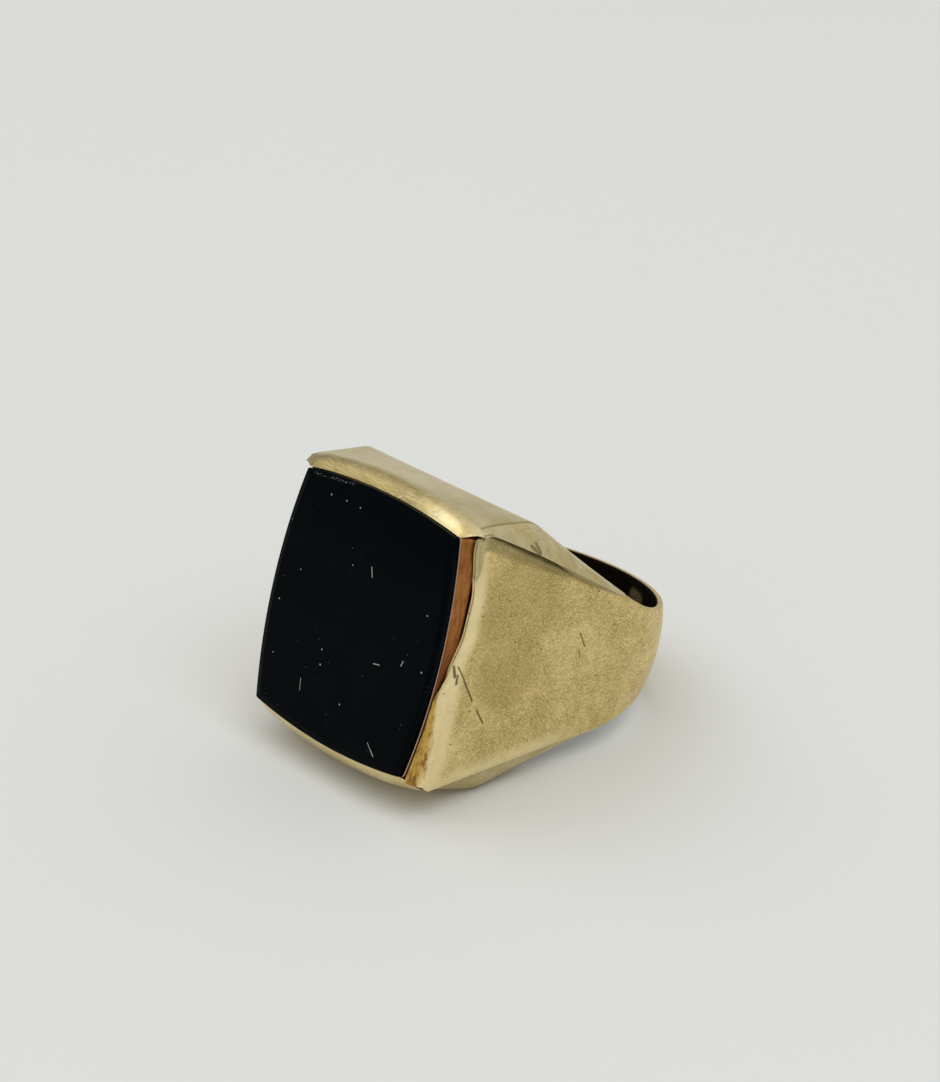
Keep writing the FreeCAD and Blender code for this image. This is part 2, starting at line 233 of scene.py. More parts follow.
def leaf_inset(x, z, sy):
    """Width of the bevel on the side of the ring that x is on."""
    right, middle_z, half_span = UPPER_LEAF if sy > 0 else LOWER_LEAF
    left = UPPER_LEFT_LEAF[0] if sy > 0 else right
    greatest = np.where(np.asarray(x) < 0, left, right)
    inset = greatest * (1 - ((z - middle_z) / half_span) ** 2)
    return np.maximum(inset, LEAF_LEAST)


def leaf_edge_x(sx, z, sy):
    return shoulder_x(z) - leaf_inset(sx, z, sy)


def facet_y(x, z, sy):
    """Height of the leaf's bevelled facet, from the groove up to the side."""
    inset = leaf_inset(x, z, sy)
    top = np.where(z < FOLD_Z, sweep_y(z), wall_y(HEAD_HALF_WIDTH - inset, z))
    rise = np.maximum(top - groove_y(z), LEAF_LEAST)
    return groove_y(z) + rise * (shoulder_x(z) - np.abs(x)) / inset


def corner_y(x, z):
    """Height of the plane that rounds off the head's front corners."""
    slope_x, slope_y, slope_z = CORNER_DIRECTION
    past = slope_x * (np.abs(x) - CORNER_POINT[0]) + slope_z * (z - CORNER_POINT[2])
    return CORNER_POINT[1] - past / slope_y


def side_y(x, z, sy):
    """The whole outer side of the ring, as a height along the finger above (x, z)."""
    side = soft_min(sweep_y(z), wall_y(x, z), UPPER_FOLD_SOFT if sy > 0 else LOWER_FOLD_SOFT)
    side = soft_min(side, facet_y(x, z, sy), CREASE_SOFT)
    return soft_min(side, corner_y(x, z), CORNER_SOFT)


# Mesh building

bore = next(m for m in frame["record"]["mounts"] if m["name"] == "finger_bore")
finger_axis = Vector(bore["axis"])
ring_to_row = Matrix.Translation(Vector(bore["pos_m"])) @ Matrix((
    (1.0, 0.0, 0.0, 0.0),
    (0.0, finger_axis.y, -finger_axis.z, 0.0),
    (0.0, finger_axis.z, finger_axis.y, 0.0),
    (0.0, 0.0, 0.0, 1.0),
)) @ Matrix.Scale(MM, 4)


def quads(rows, columns, wrap_rows=False, wrap_columns=False):
    """Faces of a grid of points, row after row."""
    faces = []
    for i in range(rows if wrap_rows else rows - 1):
        for j in range(columns if wrap_columns else columns - 1):
            a = i * columns + j
            b = i * columns + (j + 1) % columns
            c = (i + 1) % rows * columns + (j + 1) % columns
            d = (i + 1) % rows * columns + j
            faces.append((a, b, c, d))
    return faces


def make_piece(name, points, faces, node, masks=None, crisp=40.0):
    """A mesh in the row frame that stands for a CAD node, with its ring coordinates kept."""
    points = np.asarray(points, float).reshape(-1, 3)
    mesh = bpy.data.meshes.new(name)
    mesh.from_pydata(points.tolist(), [], faces)
    place = mesh.attributes.new("ring", "FLOAT_VECTOR", "POINT")
    place.data.foreach_set("vector", points.astype(np.float32).ravel())
    for mask, values in (masks or {}).items():
        layer = mesh.attributes.new(mask, "FLOAT", "POINT")
        layer.data.foreach_set("value", np.asarray(values, np.float32).ravel())
    mesh.transform(ring_to_row)
    mesh.update()
    tidy_normals(mesh)
    mesh.shade_smooth()
    mesh.set_sharp_from_angle(angle=math.radians(crisp))
    piece = bpy.data.objects.new(name, mesh)
    bpy.context.scene.collection.objects.link(piece)
    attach(piece, "root")
    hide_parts(node)
    return piece


def tidy_normals(mesh):
    """All faces of a closed mesh turned outwards."""
    shape = bmesh.new()
    shape.from_mesh(mesh)
    bmesh.ops.remove_doubles(shape, verts=shape.verts, dist=1e-7)
    bmesh.ops.recalc_face_normals(shape, faces=shape.faces)
    shape.to_mesh(mesh)
    shape.free()


def make_shell(name, outer, inward, node, masks=None, crisp=40.0):
    """A closed sheet: a grid of outer points, the same grid moved inwards, and its border."""
    rows, columns = outer.shape[:2]
    inner = outer + inward
    count = rows * columns
    faces = quads(rows, columns)
    faces += [tuple(count + k for k in reversed(face)) for face in quads(rows, columns)]
    border = list(range(columns))
    border += [i * columns + columns - 1 for i in range(1, rows)]
    border += [(rows - 1) * columns + j for j in range(columns - 2, -1, -1)]
    border += [i * columns for i in range(rows - 2, 0, -1)]
    for k, a in enumerate(border):
        b = border[(k + 1) % len(border)]
        faces.append((b, a, count + a, count + b))
    points = np.concatenate([outer.reshape(-1, 3), inner.reshape(-1, 3)])
    doubled = {mask: np.concatenate([v.ravel(), v.ravel()]) for mask, v in (masks or {}).items()}
    return make_piece(name, points, faces, node, doubled, crisp)


def make_loft(name, sections, node, masks=None, crisp=40.0):
    """Closed sections in a row, with both ends capped."""
    rows, columns = sections.shape[:2]
    faces = quads(rows, columns, wrap_columns=True)
    faces.append(tuple(reversed(range(columns))))
    faces.append(tuple((rows - 1) * columns + j for j in range(columns)))
    return make_piece(name, sections, faces, node, masks, crisp)


def spaced(count, crowding):
    """Shares from 0 to 1, crowded towards both ends."""
    even = np.linspace(0, 1, count)
    crowded = 0.5 - 0.5 * np.cos(np.pi * even)
    return blend(even, crowded, crowding)


def rolled(flat_rows, roll_rows):
    """0 on a sheet's flat rows, rising to 1 over the rows of its roll."""
    return np.concatenate([np.zeros(flat_rows), np.linspace(0, 1, roll_rows + 1)[1:]])[:, None]


def stack(x, y, z):
    return np.stack(np.broadcast_arrays(x, y, z), axis=-1).astype(float)


# Stone and collar

def bulge(along, half, bow):
    """Height of a bowed side's arc over its corners, at a distance from its middle."""
    radius = (half**2 + bow**2) / (2 * bow)
    return np.sqrt(radius**2 - np.minimum(np.abs(along), half) ** 2) - (radius - bow)


def point_at(side, run, distance):
    return np.array([np.interp(distance, run, side[:, 0]), np.interp(distance, run, side[:, 1])])


def stone_outline(grow, corner):
    """The stone's outline grown outwards: four bowed sides joined by small round corners."""
    half_x = STONE_HALF_WIDTH + grow
    half_y = STONE_HALF_LENGTH + grow
    along_x = np.linspace(-half_x, half_x, ARC_POINTS)
    along_y = np.linspace(-half_y, half_y, ARC_POINTS)
    far_y = half_y + bulge(along_x, half_x, STONE_END_BOW)
    far_x = half_x + bulge(along_y, half_y, STONE_SIDE_BOW)
    sides = [
        np.column_stack([along_x, far_y]),
        np.column_stack([far_x, -along_y]),
        np.column_stack([-along_x, -far_y]),
        np.column_stack([-far_x, along_y]),
    ]
    loop = []
    for k, side in enumerate(sides):
        run = np.concatenate([[0], np.cumsum(np.linalg.norm(np.diff(side, axis=0), axis=1))])
        for distance in np.linspace(corner, run[-1] - corner, OUTLINE_SIDE_POINTS):
            loop.append(point_at(side, run, distance))
        start = loop[-1]
        following = sides[(k + 1) % 4][:ARC_POINTS // 2]
        end = point_at(following, np.linalg.norm(following - following[0], axis=1), corner)
        for share in np.linspace(0, 1, OUTLINE_CORNER_POINTS + 2)[1:-1]:
            first = blend(start, side[-1], share)
            second = blend(side[-1], end, share)
            loop.append(blend(first, second, share))
    return np.array(loop)


def ring_of(outline, z):
    return np.column_stack([outline, np.full(len(outline), z)])


def onyx_tablet():
    """The stone: a bevelled tablet whose face is filled with smaller and smaller loops."""
    bottom = STONE_TOP_Z - STONE_THICK
    profile = [(-STONE_FOOT, bottom), (0.0, bottom + STONE_FOOT)]
    profile += [(grow, STONE_TOP_Z - depth) for grow, depth in STONE_BEVEL]
    loops = [ring_of(stone_outline(grow, STONE_CORNER), z) for grow, z in profile]
    face = stone_outline(STONE_BEVEL[-1][0], STONE_CORNER)
    for share in (0.93, 0.8, 0.6, 0.4, 0.2):
        loops.append(ring_of(face * share, STONE_TOP_Z))
    return make_loft("onyx_tablet_polished", np.array(loops), "onyx_tablet", crisp=6.0)


def bezel_collar():
    """The thin wall round the stone, flared towards the shoulder panels at its upper end."""
    foot = COLLAR_TOP_Z - COLLAR_BOTTOM_Z
    rows = []
    for grow, depth, flared in [(COLLAR_GAP, foot, 0.0), *COLLAR_PROFILE, (COLLAR_THICK, foot, 0.0)]:
        outline = stone_outline(grow, COLLAR_CORNER + grow)
        x, y = outline[:, 0], outline[:, 1]
        beside_panel = smoothstep(STONE_HALF_WIDTH - 0.2, STONE_HALF_WIDTH + 0.15, np.abs(x))
        flare = COLLAR_FLARE * (y / STONE_HALF_LENGTH) ** 2 * smoothstep(0.5, 3.0, y)
        shifted = x + np.sign(x) * flare * flared * beside_panel
        rows.append(ring_of(np.column_stack([shifted, y]), COLLAR_TOP_Z - depth))
    grid = np.array(rows)
    faces = quads(*grid.shape[:2], wrap_rows=True, wrap_columns=True)
    return make_piece("bezel_collar_wall", grid, faces, "bezel_collar")


def collar_x(y):
    """The collar's outer face beside the shoulder panels."""
    return STONE_HALF_WIDTH + COLLAR_THICK + bulge(y, STONE_HALF_LENGTH + COLLAR_THICK, STONE_SIDE_BOW)


def collar_y(x):
    """The collar's outer face beside the end walls."""
    return STONE_HALF_LENGTH + COLLAR_THICK + bulge(x, STONE_HALF_WIDTH + COLLAR_THICK, STONE_END_BOW)


# Gold sheets of the head

def skirt_corner_z(sx, sy):
    """Height at which the leaf's edge crosses the liner's circle."""
    heights = np.linspace(*SKIRT_CORNER_Z, 501)
    reach = leaf_edge_x(sx, heights, sy) ** 2 + heights**2
    return float(np.interp(LINER_R**2, reach, heights))


def wall_sheet(sy):
    """Skirt, fold and wall, from the liner's circle up to the lip."""
    u = np.linspace(-1, 1, WALL_COLUMNS)[None, :]
    v = np.linspace(0, 1, WALL_ROWS)[:, None]
    share = (u + 1) / 2
    edges = []
    for sx in (-1, 1):
        low_z = skirt_corner_z(sx, sy)
        edge_z = low_z + (LIP_START_Z - low_z) * v
        edges.append((sx * leaf_edge_x(sx, edge_z, sy), edge_z))
    (left_x, left_z), (right_x, right_z) = edges
    low_angle = blend(*[math.atan2(x[0, 0], z[0, 0]) for x, z in edges], share)
    corner_r = np.where(u < 0, *[math.hypot(x[0, 0], z[0, 0]) for x, z in edges])
    low_r = blend(LINER_R, corner_r, smoothstep(SKIRT_CORNER_SHARE, 1.0, np.abs(u)))
    x = blend(left_x, right_x, share)
    z = blend(left_z, right_z, share)
    x = x + (1 - v) * (low_r * np.sin(low_angle) - x[:1])
    z = z + (1 - v) * (low_r * np.cos(low_angle) - z[:1])
    return stack(x, side_y(x, z, sy), z)


def wall_lip(start_x, start_y, sy):
    """A roll that ends against the stone, over the collar's rim, and past the stone's corners
    runs down to the front edges of the shoulder panels."""
    side = np.linspace(-1, 1, WALL_COLUMNS)
    past_stone = smoothstep(LIP_STONE_SHARE, 1.0, np.abs(side))
    right_gap, right_z = LIP_END
    left_gap, left_z = UPPER_LEFT_LIP_END if sy > 0 else LOWER_LEFT_LIP_END
    end_x = side * LIP_REACH_X
    end_y = collar_y(end_x) - COLLAR_THICK + LIP_GAP
    end_y = end_y + past_stone * np.where(side < 0, left_gap, right_gap)
    end_z = blend(COLLAR_TOP_Z + LIP_OVER_RIM, np.where(side < 0, left_z, right_z), past_stone)
    lip = []
    for q in np.linspace(0, 1, LIP_ROWS + 1)[1:]:
        x = blend(start_x, end_x, smoothstep(0, 1, q))
        y = bezier(q, start_y, start_y + LIP_SWELL, blend(start_y, end_y, 0.42), end_y)
        bend_z = [blend(LIP_START_Z, end_z, bend) for bend in (0.42, 0.8)]
        z = bezier(q, LIP_START_Z, *bend_z, end_z)
        y = soft_min(y, corner_y(x, z) + LIP_SWELL, CORNER_SOFT)
        lip.append(stack(x, y, z))
    return np.array(lip)


def end_wall(name, node, sy):
    """Skirt, fold, wall and front lip in one bent sheet, from the liner to the collar."""
    wall = wall_sheet(sy)
    outer = np.concatenate([wall, wall_lip(wall[-1, :, 0], wall[-1, :, 1], sy)])
    side = np.linspace(-1, 1, WALL_COLUMNS)
    turn = rolled(WALL_ROWS, LIP_ROWS)
    thin = blend(1.0, 0.1, smoothstep(0.72, 0.92, turn))
    inward = stack(0.0 * side, -WALL_THICK * (1 - turn), -WALL_THICK * turn * thin)
    lip_mask = np.broadcast_to(smoothstep(0.1, 0.4, turn), outer.shape[:2])
    # Painted shade along the upper wall's side creases beside the leaves, none on the lip
    crease = smoothstep(0.965, 0.995, np.abs(side)) * (1 - lip_mask) * (sy > 0)
    masks = {"lip": lip_mask, "painted_shade": crease}
    mirror = np.array([1, sy, 1])
    return make_shell(name, outer * mirror, inward * mirror, node, masks)


def panel_front_z(y, sx):
    """The panel's front edge: it dips beside the collar and rises again at the upper corner."""
    if sx < 0:
        return PANEL_FRONT_Z - FRONT_RECESS * smoothstep(3.5, 7.5, np.abs(y))
    dip = smoothstep(-0.8, 2.2, y) * (1 - smoothstep(4.2, 8.2, y))
    return PANEL_FRONT_Z + 0.1 * smoothstep(6.0, 8.2, y) - FRONT_RECESS * dip


def solder_fill(y):
    return 1 - smoothstep(*SOLDER_Y, y)


def panel_face(u, front_z):
    """The panel's face as a grid of points, and how far each point is round a roll."""
    v = spaced(PANEL_ROWS, 0.35)[:, None]
    z = JOIN_Z + (front_z - PANEL_ROLL_Z - JOIN_Z) * v
    limit = soft_min(groove_y(z), corner_y(shoulder_x(z), z), PANEL_CORNER_SOFT)
    y = u * limit
    round_corner = smoothstep(*PANEL_CORNER_Y, y)
    channel = CHANNEL_WIDTH * np.clip((z - CHANNEL_START_Z) / CHANNEL_LENGTH, 0, 1)
    front = np.clip(1 - (front_z - CHANNEL_FRONT * round_corner - z) / FRONT_ROLL, 0, None)
    front = front * blend(0.6, 1.0, round_corner) * (1 - 0.85 * solder_fill(y))
    top = np.clip(1 - (limit - y - channel) / CHANNEL_ROLL, 0, None)
    roundness = np.sqrt(front**2 + top**2)
    drop = PILLOW_DROP * np.minimum(roundness**2, 1.0)
    drop = drop + (GROOVE_DEPTH - PILLOW_DROP) * (1 - smoothstep(0.02, 0.14, limit - y))
    drop = drop + LOW_ROLL * np.clip(1 - (limit + y) / LOW_ROLL_WIDTH, 0, 1) ** 2
    drop = drop - RIM_HEIGHT * smoothstep(0.42, 0.2, front_z - z) * round_corner
    x = shoulder_x(z) - drop * smoothstep(JOIN_Z, JOIN_Z + EDGE_FADE, z)
    return stack(x, y, z), roundness


def panel_front(edge, solder_top, swell):
    """The front edge: rolled over beside the open collar, and run up to it with solder below."""
    edge_x, edge_y, edge_z = edge.T
    fill = solder_fill(edge_y)
    rows = []
    for k, (back, rise) in enumerate(FRONT_TURN):
        q = (k + 1) / len(FRONT_TURN)
        out = swell * math.sin(math.pi * q)
        solder_x = blend(edge_x, collar_x(edge_y) + 0.01, q) + out
        solder_z = blend(edge_z, solder_top, q) + out
        x = blend(edge_x - back, solder_x, fill)
        rows.append(stack(x, edge_y, blend(edge_z + rise, solder_z, fill)))
    return np.array(rows)


def panel_painted_shade(y, z, roundness):
    """Painted shade in the channel along the upper groove, at the groove's foot and in its creases."""
    up = smoothstep(0.5, 2.5, y) * smoothstep(3.5, 6.0, z)
    foot = 1 - smoothstep(0.0, 0.3, groove_y(z) - y)
    channel_floor = smoothstep(0.9, 1.1, roundness)
    crease = 1 - smoothstep(0.0, 0.16, np.abs(roundness - 1.02))
    return np.clip(0.5 * channel_floor + 0.5 * foot + 0.15 * crease, 0, 1) * up


def panel_polish(y, z, front_z):
    """The front and lower borders, worn bright."""
    border = 2.0 - 0.8 * smoothstep(-8, 4, y)
    front_border = 1 - smoothstep(0.4 * border, border, front_z - z)
    low_border = (1 - smoothstep(0.4, 1.4, groove_y(z) + y)) * smoothstep(JOIN_Z, JOIN_Z + 5.0, z)
    return np.maximum(front_border, low_border)


def panel_patina(outer, front_z, solder_top):
    """Brown solder patina beside the collar, wider towards the lower corner."""
    rows, n_front = len(outer), len(FRONT_TURN)
    edge_x, edge_y, edge_z = outer[rows - n_front - 1].T
    y, z = outer[:, :, 1], outer[:, :, 2]
    past_edge = np.arange(rows)[:, None] >= rows - n_front
    run_up = np.hypot(collar_x(edge_y) - edge_x, solder_top - edge_z)
    steps_left = np.clip((rows - 1 - np.arange(rows)) / n_front, 0, 1)[:, None]
    from_collar = run_up * steps_left + np.where(past_edge, 0.0, front_z - z)
    width = blend(0.35, 2.1, smoothstep(-1.0, -8.0, y))
    beside_collar = 1 - smoothstep(0.15, 1.0, from_collar / width)
    return beside_collar * (1 - smoothstep(-2.4, -0.4, y))


def shoulder_panel(name, node, sx):
    """A pillowed sheet with a channel along its upper groove and a rolled front edge."""
    right = sx > 0
    u = (spaced(PANEL_COLUMNS, 0.5) * 2 - 1)[None, :]
    front_z = panel_front_z(u * PANEL_HALF_HEIGHT, sx)
    solder_top = COLLAR_TOP_Z - (SOLDER_DROP if right else LEFT_SOLDER_DROP)
    face, roundness = panel_face(u, front_z)
    front = panel_front(face[-1], solder_top, SOLDER_BULGE if right else 0.0)
    outer = np.concatenate([face, front])
    roundness = np.concatenate([roundness, np.repeat(roundness[-1:], len(front), axis=0)])
    y, z = outer[:, :, 1], outer[:, :, 2]

    turn = rolled(PANEL_ROWS, len(front)) * solder_fill(face[-1, :, 1])
    near_front = smoothstep(PANEL_FRONT_Z - 2.0, PANEL_FRONT_Z - 0.8, z)
    thick = blend(PANEL_THICK, PANEL_FRONT_THICK, near_front)
    at_border = smoothstep(0.96, 1.0, np.abs(u))
    inward = stack(-thick * (1 - 0.9 * turn), -0.25 * np.sign(y) * at_border, -PANEL_THICK * turn)

    masks = {
        "polish": panel_polish(y, z, front_z),
        "patina": panel_patina(outer, front_z, solder_top) * right,
        "painted_shade": panel_painted_shade(y, z, roundness),
    }
    mirror = np.array([sx, 1, 1])
    return make_shell(name, outer * mirror, inward * mirror, node, masks, crisp=65.0)


def leaf_plate(name, node, sx, sy):
    """The bevelled facet between a groove and the side, standing proud of the upper groove."""
    z = JOIN_Z + (WALL_SHOULDER_Z - JOIN_Z) * np.linspace(0, 1, LEAF_ROWS)[:, None]
    inset = leaf_inset(sx, z, sy)
    groove_x = shoulder_x(z)
    step = GROOVE_DEPTH * smoothstep(JOIN_Z + 3.2, JOIN_Z + 7.5, z)
    worn = LOW_ROLL * smoothstep(JOIN_Z, JOIN_Z + EDGE_FADE, z)

    def column(x, surface_x, lift=0.0):
        return stack(x, side_y(sx * surface_x, z, sy) + lift, z)

    # The foot: a step up from the channel above, a worn roll below
    if sy > 0:
        columns = [column(groove_x - step * 1.5, groove_x)]
        for rise, share in ((0.1, 0.0), (0.45, 0.03), (0.85, 0.06)):
            x = groove_x - step * (1 - rise) - inset * share
            columns.append(column(x, x, 0.02 * (1 - rise)))
    else:
        columns = [column(groove_x - worn - 0.04, groove_x)]
        for share in (0.0, 0.02, 0.045):
            x = groove_x - worn * (1 - share) - inset * share
            columns.append(column(x, groove_x - inset * share))

    # The facet
    ends = smoothstep(JOIN_Z, JOIN_Z + 3, z) * smoothstep(WALL_SHOULDER_Z, WALL_SHOULDER_Z - 2, z)
    for share in np.linspace(0.07, 1, LEAF_COLUMNS):
        facet_x = groove_x - inset * share
        wear = worn * (1 - smoothstep(0.0, 0.6, share)) if sy < 0 else 0.0
        crown = LEAF_CROWN * np.sin(math.pi * share) * ends
        columns.append(column(facet_x - wear, facet_x, crown))

    # A flange under the end wall's skirt closes the gap to the liner
    edge_x = groove_x - inset
    liner_x = np.sqrt(np.maximum(LINER_R**2 - z**2, 0))
    flange_x = np.clip(liner_x, edge_x - LEAF_FLANGE, edge_x)
    for share in (0.1, 1.0):
        x = blend(edge_x, flange_x, share)
        columns.append(column(x, x, -FLANGE_DROP * share))

    outer = np.concatenate(columns, axis=1)
    inward = stack(-LEAF_WALL + 0 * outer[:, :, 0], -LEAF_UNDER, 0.0)
    across = np.broadcast_to(np.linspace(0, 1, len(columns))[None, :], outer.shape[:2])
    # Painted shade: at the foot of an upper leaf's step, and evenly over the whole of a lower leaf
    painted_shade = (1 - smoothstep(0.05, 0.2, across)) if sy > 0 else np.full(outer.shape[:2], 0.45)
    masks = {"polish": smoothstep(0.7, 0.95, across), "painted_shade": painted_shade}
    mirror = np.array([sx, sy, 1])
    return make_shell(name, outer * mirror, inward * mirror, node, masks)


def rounded_edge(inner_y, round_r):
    """The hole's rounded rim, from the bore outwards, as (radius, y) pairs."""
    turns = [math.radians(turn) for turn in (30, 60, 90)]
    return [(BORE_R + round_r * (1 - math.cos(a)), inner_y + round_r * math.sin(a)) for a in turns]


def side_at(radius, angle, sy):
    """Half width of the ring in the radial plane at an angle from the stone."""
    return float(side_y(radius * math.sin(angle), radius * math.cos(angle), sy))


def turned(loop, angle):
    """A loop of (radius, y) pairs in the radial plane at an angle from the stone."""
    return [(radius * math.sin(angle), y, radius * math.cos(angle)) for radius, y in loop]


def liner_half(angle, sy):
    """Half of the liner's section, from the middle of the bore to the middle of its outside."""
    inner_y = side_at(BORE_R, angle, sy) - HOLE_ROUND
    outer_y = side_at(LINER_R, angle, sy) - SEAM
    half = [(BORE_R, share * inner_y) for share in np.linspace(0, 1, 21)]
    half += rounded_edge(inner_y, HOLE_ROUND)
    for radius in (BORE_R + 0.2, BORE_R + 0.35, LINER_R - SEAM):
        half.append((radius, side_at(radius, angle, sy)))
    half += [(LINER_R, share * outer_y) for share in np.linspace(1, 0, 6)]
    return half


def turned_loft(name, node, angles, half):
    """A loft of sections in radial planes, each made of an upper and a lower half."""
    sections = []
    for angle in angles:
        lower = [(radius, -y) for radius, y in reversed(half(angle, -1)[1:-1])]
        sections.append(turned(half(angle, 1) + lower, angle))
    sections = np.array(sections)
    radius = np.hypot(sections[:, :, 0], sections[:, :, 2])
    masks = {"inside": 1 - smoothstep(BORE_R + 0.01, BORE_R + HOLE_ROUND, radius)}
    return make_loft(name, sections, node, masks)


def finger_liner():
    """The upper half of the finger tube, with rounded edges to its hole."""
    angles = np.linspace(-JOIN_ANGLE, JOIN_ANGLE, LINER_SECTIONS)
    return turned_loft("finger_liner_tube", "finger_liner", angles, liner_half)


def shank_half(angle, sy):
    """Half of the shank's D-shaped section, from the middle of the bore to its crown."""
    past = min(angle - JOIN_ANGLE, 2 * math.pi - JOIN_ANGLE - angle)
    crown = float(smoothstep(0, SHANK_CROWN_ANGLE - JOIN_ANGLE, past))
    edge_r = OUTER_R - crown * (SHANK_THICK - SHANK_EDGE_THICK)
    corner = blend(0.2, 0.13, float(smoothstep(0, math.radians(14), past)))
    inner_y = side_at(BORE_R, angle, sy) - HOLE_ROUND
    edge_y = side_at(edge_r - corner, angle, sy)

    def crown_r(y):
        return OUTER_R - (OUTER_R - edge_r) * (y / edge_y) ** 2

    half = [(BORE_R, share * inner_y) for share in np.linspace(0, 1, 12)]
    half += rounded_edge(inner_y, HOLE_ROUND)
    low = np.array((edge_r - corner, edge_y))
    tip = np.array((edge_r, edge_y))
    high = np.array((crown_r(edge_y - corner), edge_y - corner))
    half.append(((BORE_R + HOLE_ROUND + low[0]) / 2, edge_y))
    for q in np.linspace(0, 1, 6):
        half.append(tuple(blend(blend(low, tip, q), blend(tip, high, q), q)))
    for share in np.linspace(1, 0, 13)[1:]:
        y = share * (edge_y - corner)
        half.append((crown_r(y), y))
    return half


def shank():
    """The D-shaped back of the ring, flush with the shoulders where it joins them."""
    angles = np.linspace(JOIN_ANGLE, 2 * math.pi - JOIN_ANGLE, SHANK_SECTIONS)
    return turned_loft("shank_band", "shank", angles, shank_half)


# Materials

def add_node(tree, kind, inputs, output, **settings):
    """A new shader node. Its inputs are numbers or other nodes' outputs."""
    node = tree.nodes.new("ShaderNode" + kind)
    for setting, value in settings.items():
        setattr(node, setting, value)
    for name, value in inputs.items():
        connect(tree, value, node.inputs[name])
    return node.outputs[output]


def connect(tree, value, socket):
    if isinstance(value, bpy.types.NodeSocket):
        tree.links.new(value, socket)
    else:
        socket.default_value = value


class Shader:
    """Short calls for building one node material."""

    def __init__(self, name):
        self.material = bpy.data.materials.new(name)
        self.material.use_nodes = True
        self.tree = self.material.node_tree
        self.bsdf = self.tree.nodes["Principled BSDF"]
        self.place = self.attribute("ring", "Vector")

    def node(self, kind, inputs, output, **settings):
        return add_node(self.tree, kind, inputs, output, **settings)

    def surface(self, **inputs):
        """Inputs of the surface itself, such as Base_Color."""
        for name, value in inputs.items():
            connect(self.tree, value, self.bsdf.inputs[name.replace("_", " ")])

    def attribute(self, name, output="Fac"):
        return self.node("Attribute", {}, output, attribute_name=name)

    def math(self, operation, a, b):
        return self.node("Math", {0: a, 1: b}, 0, operation=operation)

    def times(self, a, b):
        return self.math("MULTIPLY", a, b)

    def plus(self, a, b):
        return self.math("ADD", a, b)

    def minus(self, a, b):
        return self.math("SUBTRACT", a, b)

    def most(self, values):
        total = values[0]
        for value in values[1:]:
            total = self.math("MAXIMUM", total, value)
        return total

    def axes(self):
        """The ring coordinates x, y and z on their own."""
        split = self.node("SeparateXYZ", {0: self.place}, "X").node
        return [split.outputs[axis] for axis in "XYZ"]

    def vector(self, operation, a, b, output="Vector"):
        return self.node("VectorMath", {0: a, 1: b}, output, operation=operation)

    def scaled(self, factors, turn=(0.0, 0.0, 0.0)):
        """Ring coordinates turned, then stretched, for streaks that run one way."""
        turned_place = self.node("Mapping", {"Vector": self.place, "Rotation": turn}, "Vector")
        return self.vector("MULTIPLY", turned_place, factors)

    def noise(self, scale, detail=3.0, roughness=0.55, place=None):
        inputs = {"Vector": place or self.place, "Scale": scale, "Detail": detail, "Roughness": roughness}
        return self.node("TexNoise", inputs, "Fac")

    def object_noise(self, scale):
        """Noise in the object's own coordinates, for meshes without ring coordinates."""
        return self.noise(scale, 2.0, 0.5, self.node("TexCoord", {}, "Object"))

    def spots(self, scale, core, rim, rare, rarest):
        """Round spots, solid out to core and gone at rim, in the cells that draw past rare."""
        cells = self.node("TexVoronoi", {"Vector": self.place, "Scale": scale}, "Distance").node
        spot = self.ramp(cells.outputs["Distance"], core, rim, 1.0, 0.0)
        return self.times(spot, self.ramp(cells.outputs["Color"], rare, rarest))

    def ramp(self, value, low, high, out_low=0.0, out_high=1.0):
        """The value taken smoothly from one range to another."""
        inputs = {"Value": value, "From Min": low, "From Max": high, "To Min": out_low, "To Max": out_high}
        return self.node("MapRange", inputs, "Result", interpolation_type="SMOOTHSTEP")

    def mix(self, factor, a, b):
        return self.node("Mix", {"Factor": factor, "A": a, "B": b}, "Result", data_type="RGBA")

    def tint(self, color, target, mask, strength):
        """The colour turned towards a target by a mask."""
        return self.mix(self.times(mask, strength), color, target)

    def stroke(self, start, end, width):
        """1 on a scratch between two ring points, 0 past its width, in millimetres."""
        start, end = Vector(start), Vector(end)
        run = end - start
        away = self.vector("SUBTRACT", self.place, tuple(start))
        along = self.vector("DOT_PRODUCT", away, tuple(run / run.length_squared), "Value")
        along = self.times(along, 1.0)
        along.node.use_clamp = True
        foot = self.node("VectorMath", {0: tuple(run), "Scale": along}, "Vector", operation="SCALE")
        gap = self.vector("DISTANCE", away, foot, "Value")
        return self.ramp(gap, width * 0.3, width, 1.0, 0.0)

    def near(self, centre, radius):
        """1 round a ring point, fading to 0 at a distance."""
        gap = self.vector("DISTANCE", self.place, centre, "Value")
        return self.ramp(gap, radius * 0.6, radius, 1.0, 0.0)

    def finish(self, color, rough, height, strength, depth=0.05, metallic=1.0):
        """The material, with its colour, roughness and relief. Depth is in millimetres."""
        relief = {"Strength": strength, "Distance": depth * MM, "Height": height}
        normal = self.node("Bump", relief, "Normal")
        self.surface(Base_Color=color, Roughness=rough, Normal=normal, Metallic=metallic)
        return self.material


PALE_GOLD = (0.74, 0.585, 0.27, 1)
WARM_GOLD = (0.54, 0.41, 0.155, 1)
LIGHT_GOLD = (0.84, 0.72, 0.43, 1)
SATIN_PALE = (0.95, 0.755, 0.35, 1)
SATIN_WARM = (0.72, 0.545, 0.205, 1)
SATIN_LIGHT = (1.0, 0.86, 0.53, 1)
TARNISH = (0.52, 0.385, 0.125, 1)
LIP_BROWN = (0.33, 0.255, 0.105, 1)
